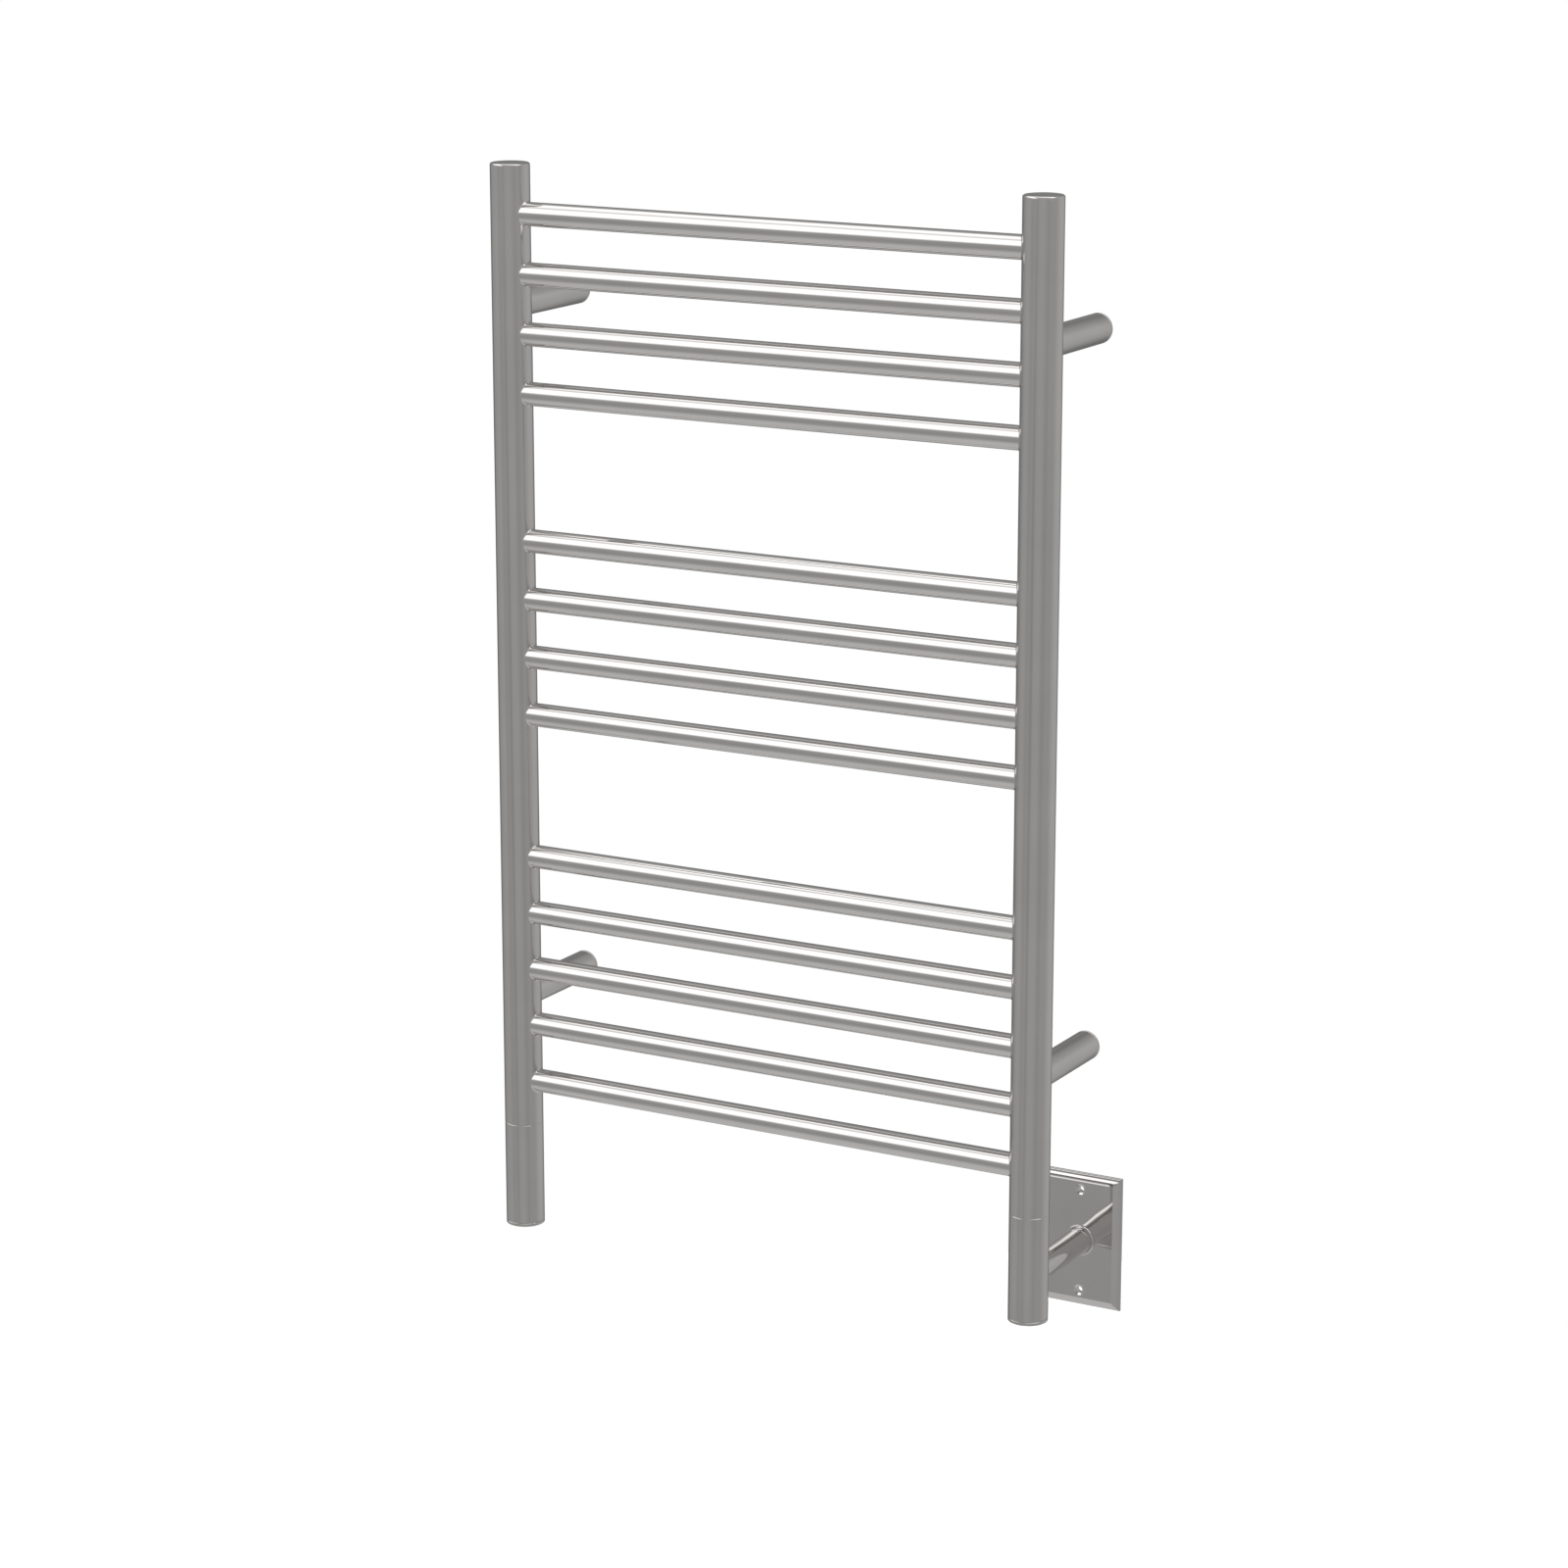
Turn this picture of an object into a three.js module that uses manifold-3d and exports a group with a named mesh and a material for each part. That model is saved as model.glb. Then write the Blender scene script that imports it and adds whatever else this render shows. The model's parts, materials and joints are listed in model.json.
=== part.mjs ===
// Wall-hung electric towel warmer rack: two upright tubes, thirteen rungs in groups of 4, 4 and 5,
// four wall posts, and a power arm that runs back from the right-hand lower sleeve to a wall plate.
// Millimetres. +X right, +Y into the wall, +Z up.
// Origin: on the wall plane, at the centre of the rectangle of the four wall anchors.

import * as THREE from 'three';
import { mergeVertices } from 'three/addons/utils/BufferGeometryUtils.js';
import Module from 'manifold-3d';

const wasm = await Module();
wasm.setup();

// ---------- driving dimensions ----------

// uprights and their layout
const upright_spacing = 490;
const upright_diameter = 33.4;
const upright_wall = 1.5;
const upright_standoff = 104;

// rungs
const bar_diameter = 20;
const bar_wall = 1.2;
const bar_pitch = 50;
const bar_group_gap = 125;
const bars_in_groups = [4, 4, 5];
const last_bar_extra = 1.2;
const top_reach = 41.8;

// lower sleeves and end caps
const seam_drop = 38.8;
const sleeve_length = 90;
const top_cap_height = 2.4;
const bottom_cap_height = 3;
const top_cap_edge_radius = 1.8;
const bottom_cap_edge_radius = 1.2;
const cap_spigot_length = 8;
const joiner_length = 24;
const joiner_wall = 3;
const joiner_screw_radius = 2;
const joiner_screw_drop = 6;

// wall posts and their anchors
const post_diameter = 25;
const post_wall = 3.5;
const post_drop = 75;
const post_rows_apart = 600;
const anchor_flange = 2;
const anchor_edge_radius = 0.8;
const anchor_spigot_length = 16;
const anchor_groove_depth = 1;
const anchor_groove_width = 6;
const anchor_hole_radius = 2.75;
const anchor_sink_radius = 5.5;
const post_screw_radius = 2.5;
const post_screw_from_wall = 10;

// power arm and wall plate
const arm_diameter = 22.5;
const arm_wall = 1.5;
const arm_drop_below_seam = 55;
const arm_end_from_wall = 0.6;
const plate_width = 73;
const plate_height = 117;
const plate_depth = 5.8;
const plate_rim = 2.4;
const plate_bevel = 7;
const plate_hole_spacing = 89.5;
const plate_hole_radius = 2.6;
const plate_dish_radius = 4.7;
const plate_dish_depth = 0.85;
const collar_wall = 0.85;
const collar_flange = 0.8;
const collar_height = 1.9;
const collar_edge_radius = 1.4;

// electrical pieces inside the tubes
const cable_diameter = 5;
const cable_bend_radius = 12;
const end_seal_diameter = 8;
const end_seal_length = 16;
const lead_diameter = 6;
const lead_bend_radius = 22;
const lead_forward = 4;
const terminal_width = 16;
const terminal_depth = 12;
const terminal_height = 15;
const lead_straight = 3;
const grommet_length = 8;
const earth_wire_diameter = 2.4;
const earth_stud_radius = 2;
const earth_stud_length = 9;
const earth_stud_drop = 21;
const earth_nut_across_flats = 7;
const earth_nut_thickness = 3.2;
const earth_tag_radius = 4;
const earth_tag_thickness = 1;
const earth_tag_tab = 8;
const earth_tag_from_wall = 1.6;
const earth_wire_offset = 5.5;
const earth_wire_bend = 3.6;

// screws share one hexagon socket shape
const socket_share = 0.55;
const socket_depth = 1.6;

// clearances
const gap = 0.3;

// facets; a rounded edge with one step is a plain chamfer
const upright_sides = 32;
const bar_sides = 24;
const small_sides = 16;
const cable_sides = 8;
const bend_steps = 3;
const edge_steps = 2;

// ---------- places worked out from the driving dimensions ----------

const upright_radius = upright_diameter / 2;
const upright_bore = upright_radius - upright_wall;
const bar_radius = bar_diameter / 2;
const post_radius = post_diameter / 2;
const post_bore = post_radius - post_wall;
const arm_radius = arm_diameter / 2;
const arm_bore = arm_radius - arm_wall;
const upright_y = -upright_standoff;
const side_x = upright_spacing / 2;

const upper_post_z = post_rows_apart / 2;
const lower_post_z = -post_rows_apart / 2;
const first_bar_z = upper_post_z + post_drop;

// heights of the rungs, from the top one down
function barHeights() {
  const heights = [];
  let z = first_bar_z;
  bars_in_groups.forEach((count, group) => {
    if (group > 0) {
      z -= bar_group_gap - bar_pitch;
    }
    for (let i = 0; i < count; i += 1) {
      heights.push(z);
      z -= bar_pitch;
    }
  });
  heights[heights.length - 1] -= last_bar_extra;
  return heights;
}

const bar_heights = barHeights();
const last_bar_z = bar_heights[bar_heights.length - 1];
const top_z = first_bar_z + top_reach;
const seam_z = last_bar_z - seam_drop;
const sleeve_bottom_z = seam_z - sleeve_length;
const arm_z = seam_z - arm_drop_below_seam;
const terminal_bottom_z = arm_z + lead_bend_radius + lead_straight;

// A tube that enters the wall of an upright ends half-way between the upright's outer and inner
// faces, measured at the tube's own widest line, so that it is held by the hole all the way round.
function seatDistance(radius) {
  const outer = Math.sqrt(Math.max(upright_radius ** 2 - radius ** 2, 0));
  const inner = Math.sqrt(Math.max(upright_bore ** 2 - radius ** 2, 0));
  return (outer + inner) / 2;
}

// ---------- materials ----------

function steel(roughness) {
  return new THREE.MeshStandardMaterial({ color: 0xc9c6c2, roughness, metalness: 1 });
}

const polished = () => steel(0.08);
const plain = () => steel(0.35);
const brass = () => new THREE.MeshStandardMaterial({ color: 0xb8964c, roughness: 0.3, metalness: 1 });
const jacket = () => new THREE.MeshStandardMaterial({ color: 0x9b2f22, roughness: 0.6, metalness: 0 });
const sheath = () => new THREE.MeshStandardMaterial({ color: 0xd8d8d4, roughness: 0.55, metalness: 0 });
const rubber = () => new THREE.MeshStandardMaterial({ color: 0x1d1d1e, roughness: 0.8, metalness: 0 });
const moulded = () => new THREE.MeshStandardMaterial({ color: 0xe9e6da, roughness: 0.5, metalness: 0 });
const earth = () => new THREE.MeshStandardMaterial({ color: 0x3f8f3a, roughness: 0.5, metalness: 0 });

// ---------- making and cutting solids ----------

// a closed geometry as a solid, with the slivers that a profile makes on its axis left out
function solid(geometry) {
  const bare = geometry.index ? geometry.toNonIndexed() : geometry.clone();
  bare.deleteAttribute('normal');
  bare.deleteAttribute('uv');
  const merged = mergeVertices(bare, 1e-4);
  const corners = merged.index.array;
  const kept = [];
  for (let i = 0; i < corners.length; i += 3) {
    const [a, b, c] = [corners[i], corners[i + 1], corners[i + 2]];
    if (a !== b && b !== c && c !== a) {
      kept.push(a, b, c);
    }
  }
  return new wasm.Manifold(new wasm.Mesh({
    numProp: 3,
    vertProperties: new Float32Array(merged.attributes.position.array),
    triVerts: new Uint32Array(kept),
  }));
}

function geometryOf(manifold) {
  const mesh = manifold.getMesh();
  const geometry = new THREE.BufferGeometry();
  geometry.setAttribute('position', new THREE.BufferAttribute(new Float32Array(mesh.vertProperties), 3));
  geometry.setIndex(new THREE.BufferAttribute(new Uint32Array(mesh.triVerts), 1));
  geometry.computeVertexNormals();
  return geometry;
}

function cut(geometry, cutters) {
  let result = solid(geometry);
  for (const cutter of cutters) {
    result = result.subtract(solid(cutter));
  }
  return geometryOf(result);
}

// a body of revolution about +Y, from [radius, height] corners listed counter-clockwise
function turned(corners, sides) {
  return new THREE.LatheGeometry(corners.map(([r, h]) => new THREE.Vector2(r, h)), sides);
}

function tube(outer, inner, length, sides) {
  return turned([[inner, 0], [outer, 0], [outer, length], [inner, length], [inner, 0]], sides);
}

function rod(radius, length, sides) {
  return turned([[0, 0], [radius, 0], [radius, length], [0, length]], sides);
}

// turns a body made along +Y to another direction; its base stays at the origin
function along(geometry, direction) {
  const turn = new THREE.Quaternion();
  turn.setFromUnitVectors(new THREE.Vector3(0, 1, 0), new THREE.Vector3(...direction));
  return geometry.applyQuaternion(turn);
}

// corners of a quarter round on an outer edge, from the lower or inner tangent point to the other
function edgeArc(centre_r, centre_h, radius, from_angle, to_angle) {
  const corners = [];
  for (let i = 0; i <= edge_steps; i += 1) {
    const angle = THREE.MathUtils.degToRad(from_angle + (to_angle - from_angle) * i / edge_steps);
    corners.push([centre_r + radius * Math.cos(angle), centre_h + radius * Math.sin(angle)]);
  }
  return corners;
}

// a solid between rectangles [half width, half height, y], listed from the wall outwards (-Y)
function steppedBlock(sections) {
  const positions = [];
  const triangles = [];
  for (const [w, h, y] of sections) {
    positions.push(-w, y, -h, w, y, -h, w, y, h, -w, y, h);
  }
  for (let s = 0; s + 1 < sections.length; s += 1) {
    for (let k = 0; k < 4; k += 1) {
      const a = 4 * s + k;
      const b = 4 * s + (k + 1) % 4;
      triangles.push(a, b, a + 4, b, b + 4, a + 4);
    }
  }
  const last = 4 * (sections.length - 1);
  triangles.push(0, 2, 1, 0, 3, 2, last, last + 1, last + 2, last, last + 2, last + 3);
  const geometry = new THREE.BufferGeometry();
  geometry.setAttribute('position', new THREE.Float32BufferAttribute(positions, 3));
  geometry.setIndex(triangles);
  return geometry;
}

// a path of straight runs and round bends that is sampled only at its own stations
class StationPath extends THREE.Curve {
  constructor(points, tangents) {
    super();
    this.points = points;
    this.tangents = tangents;
  }

  station(u) {
    return Math.round(u * (this.points.length - 1));
  }

  getPoint(u) {
    return this.points[this.station(u)].clone();
  }

  getPointAt(u) {
    return this.getPoint(u);
  }

  getTangentAt(u) {
    return this.tangents[this.station(u)].clone();
  }
}

// a round cable through corner points, with every corner rounded to the bend radius
function cable(corners, diameter, bend_radius) {
  const points = [];
  const tangents = [];
  const place = (point, tangent) => {
    points.push(point);
    tangents.push(tangent);
  };
  const direction = (i) => corners[i + 1].clone().sub(corners[i]).normalize();
  place(corners[0], direction(0));
  for (let i = 1; i < corners.length - 1; i += 1) {
    const before = direction(i - 1);
    const after = direction(i);
    const angle = before.angleTo(after);
    const setback = bend_radius * Math.tan(angle / 2);
    const start = corners[i].clone().addScaledVector(before, -setback);
    const towards_centre = after.clone().addScaledVector(before, -before.dot(after)).normalize();
    for (let k = 0; k <= bend_steps; k += 1) {
      const turn = angle * k / bend_steps;
      const point = start.clone().addScaledVector(before, bend_radius * Math.sin(turn));
      point.addScaledVector(towards_centre, bend_radius * (1 - Math.cos(turn)));
      const tangent = before.clone().multiplyScalar(Math.cos(turn));
      tangent.addScaledVector(towards_centre, Math.sin(turn));
      place(point, tangent);
    }
  }
  place(corners[corners.length - 1], direction(corners.length - 2));
  const section = new THREE.Shape();
  for (let k = 0; k < cable_sides; k += 1) {
    const angle = 2 * Math.PI * k / cable_sides;
    const method = k === 0 ? 'moveTo' : 'lineTo';
    section[method](diameter / 2 * Math.cos(angle), diameter / 2 * Math.sin(angle));
  }
  section.closePath();
  return new THREE.ExtrudeGeometry(section, {
    steps: points.length - 1,
    extrudePath: new StationPath(points, tangents),
  });
}

// a headless screw along +Y with its hexagon socket in the far end
function grubScrew(radius, length) {
  const socket = rod(radius * socket_share, socket_depth + gap, 6);
  socket.translate(0, length - socket_depth, 0);
  return cut(rod(radius, length, small_sides), [socket]);
}

// ---------- the object ----------

const rack = new THREE.Group();

function add(parent, name, geometry, material, place = [0, 0, 0]) {
  const mesh = new THREE.Mesh(geometry, material);
  mesh.name = name;
  mesh.position.set(...place);
  parent.add(mesh);
}

// An upright: holes on its inner side for the rungs and at the back for the two posts.
function uprightShape(inward) {
  const bottom = seam_z + gap / 2;
  const top = top_z - top_cap_height - gap;
  const shell = along(tube(upright_radius, upright_bore, top - bottom, upright_sides), [0, 0, 1]);
  shell.translate(0, 0, bottom);
  const reach = upright_radius + 2;
  const cutters = bar_heights.map((z) => (
    along(rod(bar_radius + gap, reach, bar_sides), [inward, 0, 0]).translate(0, 0, z)
  ));
  for (const z of [upper_post_z, lower_post_z]) {
    cutters.push(rod(post_radius + gap, reach, bar_sides).translate(0, 0, z));
  }
  return cut(shell, cutters);
}

// A lower sleeve: a locking-screw hole at the back, and on the right the power arm's hole.
function sleeveShape(with_arm) {
  const length = sleeve_length - gap / 2;
  const shell = along(tube(upright_radius, upright_bore, length, upright_sides), [0, 0, 1]);
  shell.translate(0, 0, sleeve_bottom_z);
  const reach = upright_radius + 2;
  const cutters = [rod(joiner_screw_radius + gap, reach, small_sides)];
  cutters[0].translate(0, 0, seam_z - joiner_screw_drop);
  if (with_arm) {
    cutters.push(rod(arm_radius + gap, reach, bar_sides).translate(0, 0, arm_z));
  }
  return cut(shell, cutters);
}

// The spigot tube that lines up an upright and its lower sleeve.
function joinerShape() {
  const outer = upright_bore - gap;
  const shell = along(tube(outer, outer - joiner_wall, joiner_length, upright_sides), [0, 0, 1]);
  shell.translate(0, 0, seam_z - joiner_length / 2);
  const hole = rod(joiner_screw_radius + gap, upright_radius, small_sides);
  hole.translate(0, 0, seam_z - joiner_screw_drop);
  return cut(shell, [hole]);
}

// An end cap: a flush lid with one rounded edge and a spigot. Made with the lid upwards.
function capShape(height, edge_radius) {
  const r = upright_radius;
  const rounded = edgeArc(r - edge_radius, height - edge_radius, edge_radius, 0, 90);
  return turned([
    [0, -cap_spigot_length], [upright_bore - gap, -cap_spigot_length], [upright_bore - gap, 0],
    [r, 0], ...rounded, [0, height],
  ], upright_sides);
}

function addUpright(side, inward, with_arm) {
  const column = new THREE.Group();
  column.position.set(-inward * side_x, upright_y, 0);
  add(column, `${side}_upright`, uprightShape(inward), polished());
  const top_cap = along(capShape(top_cap_height, top_cap_edge_radius), [0, 0, 1]);
  add(column, `${side}_top_cap`, top_cap, polished(), [0, 0, top_z - top_cap_height]);
  add(column, `${side}_lower_sleeve`, sleeveShape(with_arm), polished());
  const bottom_cap = along(capShape(bottom_cap_height, bottom_cap_edge_radius), [0, 0, -1]);
  add(column, `${side}_bottom_cap`, bottom_cap, polished(), [0, 0, sleeve_bottom_z - gap]);
  add(column, `${side}_joiner`, joinerShape(), plain());
  const screw_start = upright_bore - gap - joiner_wall;
  const screw = grubScrew(joiner_screw_radius, upright_radius - gap - screw_start);
  add(column, `${side}_joiner_screw`, screw, plain(), [0, screw_start, seam_z - joiner_screw_drop]);
  rack.add(column);
}

function addBars() {
  const half = side_x - seatDistance(bar_radius);
  bar_heights.forEach((z, index) => {
    const shape = along(tube(bar_radius, bar_radius - bar_wall, 2 * half, bar_sides), [1, 0, 0]);
    const name = `bar_${String(index + 1).padStart(2, '0')}`;
    add(rack, name, shape, polished(), [-half, upright_y, z]);
  });
}

// A wall anchor along -Y from the wall: flange, grooved spigot and a countersunk screw hole.
function anchorShape() {
  const spigot = post_bore - gap;
  const groove = spigot - anchor_groove_depth;
  const groove_start = post_screw_from_wall - anchor_groove_width / 2;
  const end = anchor_flange + anchor_spigot_length;
  const sink = anchor_sink_radius - anchor_hole_radius;
  const r = post_radius;
  const e = anchor_edge_radius;
  return turned([
    [anchor_hole_radius, 0], [r, 0],
    ...edgeArc(r - e, anchor_flange - e, e, 0, 90),
    [spigot, anchor_flange], [spigot, groove_start], [groove, groove_start],
    [groove, groove_start + anchor_groove_width], [spigot, groove_start + anchor_groove_width],
    [spigot, end], [anchor_sink_radius, end], [anchor_hole_radius, end - sink],
    [anchor_hole_radius, 0],
  ], bar_sides);
}

function postShape(length) {
  const shell = tube(post_radius, post_bore, length, bar_sides);
  const screw_hole = along(rod(post_screw_radius + gap, post_radius + 2, small_sides), [0, 0, -1]);
  screw_hole.translate(0, length - (post_screw_from_wall - anchor_flange - gap), 0);
  return cut(shell, [screw_hole]);
}

function addPosts() {
  const front = upright_y + seatDistance(post_radius);
  const back = -(anchor_flange + gap);
  const tip = post_bore - anchor_groove_depth;
  const screw_length = post_radius - gap - tip;
  for (const [side, x] of [['left', -side_x], ['right', side_x]]) {
    for (const [row, z] of [['upper', upper_post_z], ['lower', lower_post_z]]) {
      add(rack, `${side}_${row}_post`, postShape(back - front), polished(), [x, front, z]);
      add(rack, `${side}_${row}_anchor`, along(anchorShape(), [0, -1, 0]), polished(), [x, 0, z]);
      const screw = along(grubScrew(post_screw_radius, screw_length), [0, 0, -1]);
      add(rack, `${side}_${row}_post_screw`, screw, plain(), [x, -post_screw_from_wall, z - tip]);
    }
  }
}

// The wall plate: a bevelled plate with the arm's hole and two screw holes with dished rims.
function plateShape() {
  const w = plate_width / 2;
  const h = plate_height / 2;
  const block = steppedBlock([
    [w, h, 0], [w, h, -plate_rim], [w - plate_bevel, h - plate_bevel, -plate_depth],
  ]);
  const past = 1;
  const bore = rod(arm_radius + gap + collar_wall + gap, plate_depth + 2 * past, upright_sides);
  const cutters = [along(bore, [0, -1, 0]).translate(0, past, 0)];
  const dish_slope = (plate_dish_radius - plate_hole_radius) / plate_dish_depth;
  for (const z of [-plate_hole_spacing / 2, plate_hole_spacing / 2]) {
    const hole = turned([
      [0, -past], [plate_hole_radius, -past], [plate_hole_radius, plate_depth - plate_dish_depth],
      [plate_dish_radius + past * dish_slope, plate_depth + past], [0, plate_depth + past],
    ], small_sides);
    cutters.push(along(hole, [0, -1, 0]).translate(0, 0, z));
  }
  return cut(block, cutters);
}

// The collar that guides the plate on the arm, along -Y from the plate's back.
function collarShape() {
  const bore = arm_radius + gap;
  const barrel = bore + collar_wall;
  const flange = barrel + gap + collar_flange;
  const start = plate_depth + gap;
  const end = start + collar_height;
  const e = collar_edge_radius;
  return turned([
    [bore, gap], [barrel, gap], [barrel, start], [flange, start],
    ...edgeArc(flange - e, end - e, e, 0, 90), [bore, end], [bore, gap],
  ], upright_sides);
}

function addPowerArm() {
  const front = upright_y + seatDistance(arm_radius);
  const shape = tube(arm_radius, arm_bore, -arm_end_from_wall - front, bar_sides);
  add(rack, 'power_arm', shape, polished(), [side_x, front, arm_z]);
  add(rack, 'wall_plate', plateShape(), polished(), [side_x, 0, arm_z]);
  add(rack, 'plate_collar', along(collarShape(), [0, -1, 0]), polished(), [side_x, 0, arm_z]);
}

// The heating cable runs up the right upright and snakes through every rung, lowest first.
function heatingRoute() {
  const start_z = terminal_bottom_z + terminal_height + gap;
  const corners = [new THREE.Vector3(side_x, upright_y, start_z)];
  let x = side_x;
  for (const z of [...bar_heights].reverse()) {
    corners.push(new THREE.Vector3(x, upright_y, z));
    x = -x;
    corners.push(new THREE.Vector3(x, upright_y, z));
  }
  const seal_start = first_bar_z + cable_bend_radius + cable_diameter / 2;
  corners.push(new THREE.Vector3(x, upright_y, seal_start - gap));
  return { corners, end: [x, upright_y, seal_start] };
}

function addHeating() {
  const route = heatingRoute();
  add(rack, 'heating_cable', cable(route.corners, cable_diameter, cable_bend_radius), jacket());
  const r = end_seal_diameter / 2;
  const taper = r / 2;
  const seal = turned([
    [0, 0], [r, 0], [r, end_seal_length - taper], [r - taper, end_seal_length], [0, end_seal_length],
  ], small_sides);
  add(rack, 'cable_end_seal', along(seal, [0, 0, 1]), rubber(), route.end);
}

function addSupply() {
  const lead_y = upright_y - lead_forward;
  const block = new THREE.BoxGeometry(terminal_width, terminal_depth, terminal_height);
  add(rack, 'terminal_block', block, moulded(),
    [side_x, upright_y - lead_forward / 2, terminal_bottom_z + terminal_height / 2]);
  const lead_end_y = -arm_end_from_wall - gap;
  const lead = cable([
    new THREE.Vector3(side_x, lead_y, terminal_bottom_z - gap),
    new THREE.Vector3(side_x, lead_y, arm_z),
    new THREE.Vector3(side_x, lead_end_y, arm_z),
  ], lead_diameter, lead_bend_radius);
  add(rack, 'supply_lead', lead, sheath());
  const grommet = tube(arm_bore - gap, lead_diameter / 2 + gap, grommet_length, bar_sides);
  add(rack, 'arm_grommet', grommet, rubber(), [side_x, lead_end_y - grommet_length, arm_z]);
}

// The earth bond inside the right sleeve: stud on the front wall, ring tag, nut and wire.
function addEarth() {
  const stud_z = arm_z - earth_stud_drop;
  const wall_y = upright_y - upright_bore;
  const stud = rod(earth_stud_radius, earth_stud_length, small_sides);
  add(rack, 'earth_stud', stud, plain(), [side_x, wall_y + gap, stud_z]);

  const hole = new THREE.Path();
  hole.absarc(0, 0, earth_stud_radius + gap, 0, 2 * Math.PI, true);
  const outline = new THREE.Shape();
  const half_tab = earth_tag_radius / 2;
  const tab_angle = Math.acos(half_tab / earth_tag_radius);
  outline.absarc(0, 0, earth_tag_radius, Math.PI - tab_angle, tab_angle, false);
  outline.lineTo(half_tab, earth_tag_radius + earth_tag_tab);
  outline.lineTo(-half_tab, earth_tag_radius + earth_tag_tab);
  outline.closePath();
  outline.holes.push(hole);
  const tag = new THREE.ExtrudeGeometry(outline, {
    depth: earth_tag_thickness, bevelEnabled: false, curveSegments: small_sides,
  });
  tag.rotateX(Math.PI / 2);
  const tag_back = wall_y + earth_tag_from_wall + earth_tag_thickness;
  add(rack, 'earth_tag', tag, brass(), [side_x, tag_back, stud_z]);

  const nut_radius = earth_nut_across_flats / Math.sqrt(3);
  const nut = tube(nut_radius, earth_stud_radius + gap, earth_nut_thickness, 6);
  add(rack, 'earth_nut', nut, plain(), [side_x, tag_back + gap, stud_z]);

  // the wire starts on the tag's tab, steps sideways and ends under the terminal block
  const wire_y = tag_back + gap + earth_wire_diameter / 2;
  const tag_top = stud_z + earth_tag_radius + earth_tag_tab;
  const wire = cable([
    new THREE.Vector3(side_x, wire_y, tag_top - earth_wire_diameter),
    new THREE.Vector3(side_x, wire_y, tag_top + earth_wire_diameter),
    new THREE.Vector3(side_x - earth_wire_offset, wire_y, tag_top + earth_wire_offset),
    new THREE.Vector3(side_x - earth_wire_offset, wire_y, terminal_bottom_z - gap),
  ], earth_wire_diameter, earth_wire_bend);
  add(rack, 'earth_wire', wire, earth());
}

addUpright('left', 1, false);
addUpright('right', -1, true);
addBars();
addPosts();
addPowerArm();
addHeating();
addSupply();
addEarth();

export default rack;
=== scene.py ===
"""Looks of the towel warmer rack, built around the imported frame.

Metres. +X right, +Y into the wall, +Z up."""
import json
import math

import bpy
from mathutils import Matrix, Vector


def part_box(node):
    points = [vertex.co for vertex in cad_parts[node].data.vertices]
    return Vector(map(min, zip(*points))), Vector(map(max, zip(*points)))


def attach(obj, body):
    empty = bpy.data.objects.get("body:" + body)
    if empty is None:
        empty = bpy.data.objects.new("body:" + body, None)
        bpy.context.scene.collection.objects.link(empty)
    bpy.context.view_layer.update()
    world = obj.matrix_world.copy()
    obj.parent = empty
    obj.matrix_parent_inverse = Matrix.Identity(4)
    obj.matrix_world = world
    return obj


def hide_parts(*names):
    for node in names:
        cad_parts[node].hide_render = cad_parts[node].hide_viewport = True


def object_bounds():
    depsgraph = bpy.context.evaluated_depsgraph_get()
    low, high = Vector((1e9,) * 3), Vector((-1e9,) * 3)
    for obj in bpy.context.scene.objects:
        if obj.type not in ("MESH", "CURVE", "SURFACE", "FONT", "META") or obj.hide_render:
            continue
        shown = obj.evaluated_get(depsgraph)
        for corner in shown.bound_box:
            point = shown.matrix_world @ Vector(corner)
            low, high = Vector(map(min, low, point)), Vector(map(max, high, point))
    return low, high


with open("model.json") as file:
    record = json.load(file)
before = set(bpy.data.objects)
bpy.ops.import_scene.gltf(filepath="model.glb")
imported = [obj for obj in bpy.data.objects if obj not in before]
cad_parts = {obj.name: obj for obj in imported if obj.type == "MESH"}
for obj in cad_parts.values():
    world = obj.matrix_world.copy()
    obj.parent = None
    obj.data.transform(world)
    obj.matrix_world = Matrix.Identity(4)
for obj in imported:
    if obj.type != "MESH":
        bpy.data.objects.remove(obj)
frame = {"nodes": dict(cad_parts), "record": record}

MM = 0.001
TAU = 2 * math.pi
cad_low, cad_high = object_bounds()

# ---------- camera and stage ----------

CAMERA_PLACE = (1.7184, -3.1497, 0.7919)
CAMERA_HEADING = 29.222
CAMERA_DIP = 14.047
CAMERA_LENS = 100
SENSOR_WIDTH = 36
FLOOR_DROP = 0.45
FLOOR_RADIUS = 1.25
FLOOR_SIDES = 96
FLOOR_TONE = (0.82, 0.82, 0.82, 1)
FLOOR_GLOW = 0.5
WHITE = (1, 1, 1, 1)

# ---------- sizes of the visible shapes ----------

TUBE_SIDES = 96
UPRIGHT_SIDES = 128
ARC_STEPS = 6
FILLET_STEPS = 8
UPRIGHT_WALL = 1.5 * MM
BAR_WALL = 1.2 * MM
POST_WALL = 3.5 * MM
ARM_WALL = 1.5 * MM
WELD_FILLET = 1.6 * MM
ARM_WELD_FILLET = 1.4 * MM
SINK = 0.8 * MM
CAP_EDGE = 1.8 * MM
TOP_LIP = 2.4 * MM
BOTTOM_LIP = 3.0 * MM
CAP_SPIGOT_INSET = 1.8 * MM
CAP_SPIGOT_EASE = 0.5 * MM
CAP_GROOVE = 0.25 * MM
SEAM_CHAMFER = 0.65 * MM
SEAM_EASE = 0.08 * MM
SEAM_CLOSE = 0.13 * MM
CAP_CLOSE = 0.29 * MM
HAIRLINE = 0.02 * MM
LIP_EDGE = 0.9 * MM
ANCHOR_EDGE = 0.9 * MM
ANCHOR_DISC = 2 * MM
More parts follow.
